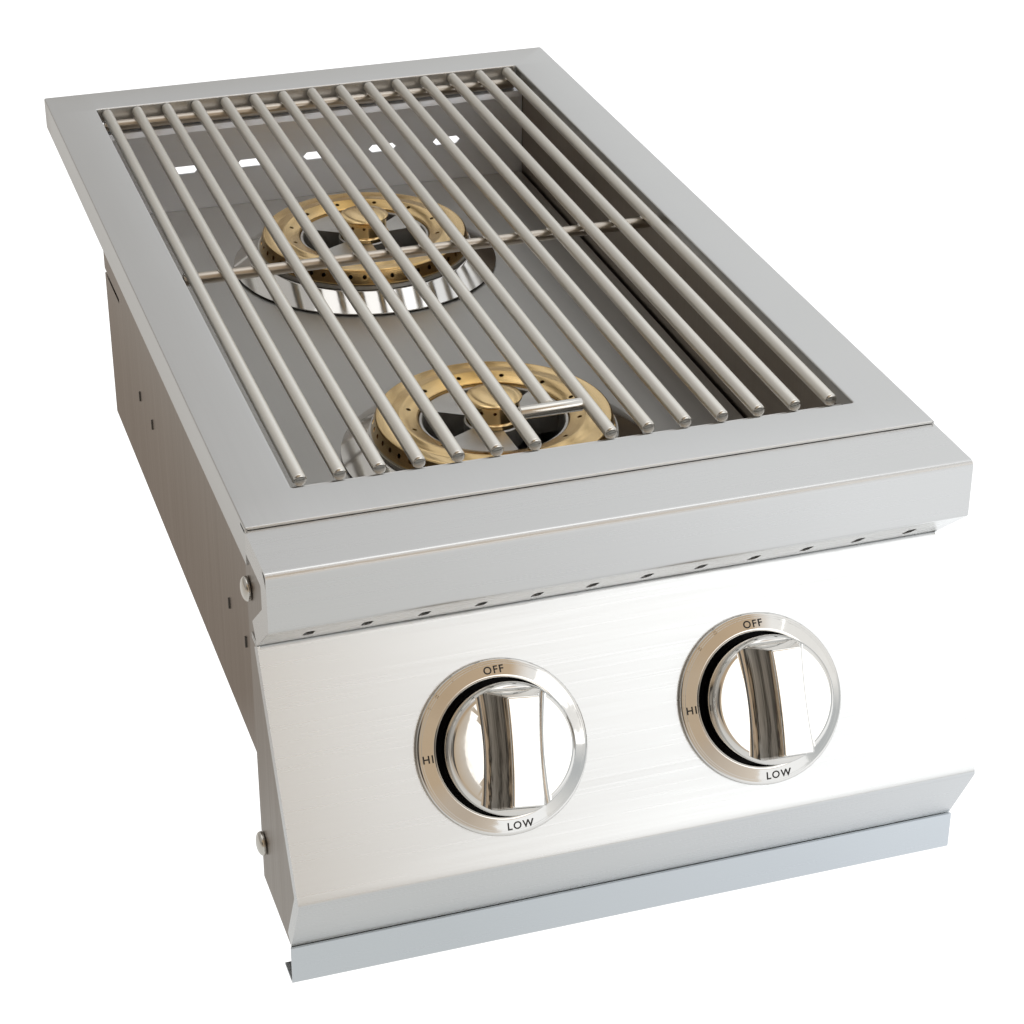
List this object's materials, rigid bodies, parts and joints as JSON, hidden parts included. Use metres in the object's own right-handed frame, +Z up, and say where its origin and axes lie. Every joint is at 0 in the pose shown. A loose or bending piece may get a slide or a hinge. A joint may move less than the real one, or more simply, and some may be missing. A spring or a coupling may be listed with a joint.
{
  "type": "built in side burner",
  "caption": "Drop-in stainless side burner with a rod grate over brass ring burners in a firebox, a sloping control panel with push and turn knobs, and its gas valves, pipes and injectors.",
  "frame": {"origin": "middle of the base pan's underside", "axes": "+Z up, +Y to the back, away from the knobs, +X to the right as seen from the front"},
  "size_m": [0.3248, 0.6461, 0.2045],
  "materials": {
    "housing_steel": "brushed stainless steel sheet, fine grain",
    "panel_steel": "brushed stainless steel sheet, bright grain across the panel",
    "inner_steel": "stainless steel sheet, mill finish",
    "tray_steel": "stainless steel sheet, dull satin",
    "grate_steel": "solid stainless rod, satin with polished ends",
    "fastener_steel": "polished stainless steel",
    "bracket_steel": "plain steel, dark",
    "bezel_chrome": "polished chrome",
    "knob_chrome": "polished chrome",
    "bowl_chrome": "polished stainless steel",
    "burner_brass": "turned brass, satin",
    "cast_aluminium": "sand-cast aluminium",
    "feed_aluminium": "drawn aluminium tube"
  },
  "bodies": {
    "housing": {"top_frame": "housing_steel", "nose_trim": "housing_steel", "control_panel": "panel_steel", "skirt_strip": "housing_steel", "front_wall": "inner_steel", "back_wall": "inner_steel", "front_ledge": "inner_steel", "burner_tray": "tray_steel", "base_pan": "inner_steel", "gas_manifold": "bracket_steel", "inlet_elbow": "burner_brass", "feed_pipe_front": "feed_aluminium", "feed_pipe_rear": "feed_aluminium", "control_side_left": "housing_steel", "firebox_side_left": "inner_steel", "side_bolt_left_upper": "fastener_steel", "side_bolt_left_lower": "fastener_steel", "manifold_strap_left": "bracket_steel", "bezel_left": "bezel_chrome", "valve_cap_left": "bracket_steel", "valve_body_left": "cast_aluminium", "bezel_screw_left_1": "fastener_steel", "bezel_screw_left_2": "fastener_steel", "control_side_right": "housing_steel", "firebox_side_right": "inner_steel", "side_bolt_right_upper": "fastener_steel", "side_bolt_right_lower": "fastener_steel", "manifold_strap_right": "bracket_steel", "bezel_right": "bezel_chrome", "valve_cap_right": "bracket_steel", "valve_body_right": "cast_aluminium", "bezel_screw_right_1": "fastener_steel", "bezel_screw_right_2": "fastener_steel", "burner_base_front": "cast_aluminium", "drip_bowl_front": "bowl_chrome", "burner_bracket_front": "bracket_steel", "injector_holder_front": "cast_aluminium", "injector_front": "burner_brass", "burner_base_rear": "cast_aluminium", "drip_bowl_rear": "bowl_chrome", "burner_bracket_rear": "bracket_steel", "injector_holder_rear": "cast_aluminium", "injector_rear": "burner_brass"},
    "grate": {"cooking_grate": "grate_steel"},
    "ring_front": {"burner_ring_front": "burner_brass"},
    "cap_front": {"burner_cap_front": "burner_brass"},
    "ring_rear": {"burner_ring_rear": "burner_brass"},
    "cap_rear": {"burner_cap_rear": "burner_brass"},
    "plug_left": {"valve_plug_left": "burner_brass"},
    "knob_left": {"knob_left": "knob_chrome", "valve_stem_left": "fastener_steel", "return_spring_left": "fastener_steel"},
    "plug_right": {"valve_plug_right": "burner_brass"},
    "knob_right": {"knob_right": "knob_chrome", "valve_stem_right": "fastener_steel", "return_spring_right": "fastener_steel"}
  },
  "joints": [
    {"name": "grate_lift", "type": "slide", "parent": "housing", "child": "grate", "axis": [0, 0, 1], "range_m": [0, 0.05]},
    {"name": "ring_front_lift", "type": "slide", "parent": "housing", "child": "ring_front", "axis": [0, 0, 1], "range_m": [0, 0.02]},
    {"name": "cap_front_lift", "type": "slide", "parent": "housing", "child": "cap_front", "axis": [0, 0, 1], "range_m": [0, 0.015]},
    {"name": "ring_rear_lift", "type": "slide", "parent": "housing", "child": "ring_rear", "axis": [0, 0, 1], "range_m": [0, 0.02]},
    {"name": "cap_rear_lift", "type": "slide", "parent": "housing", "child": "cap_rear", "axis": [0, 0, 1], "range_m": [0, 0.015]},
    {"name": "knob_left_turn", "type": "hinge", "parent": "housing", "child": "plug_left", "pos_m": [-0.061, -0.30672, 0.10104], "axis": [0, -0.8625, 0.506], "range_deg": [0, 180]},
    {"name": "knob_left_push", "type": "slide", "parent": "plug_left", "child": "knob_left", "axis": [0, 0.8625, -0.506], "range_m": [0, 0.003], "stiffness_N_per_m": 1500, "springref_m": -0.003, "deforming": ["return_spring_left"]},
    {"name": "knob_right_turn", "type": "hinge", "parent": "housing", "child": "plug_right", "pos_m": [0.061, -0.30672, 0.10104], "axis": [0, -0.8625, 0.506], "range_deg": [0, 180]},
    {"name": "knob_right_push", "type": "slide", "parent": "plug_right", "child": "knob_right", "axis": [0, 0.8625, -0.506], "range_m": [0, 0.003], "stiffness_N_per_m": 1500, "springref_m": -0.003, "deforming": ["return_spring_right"]}
  ]
}
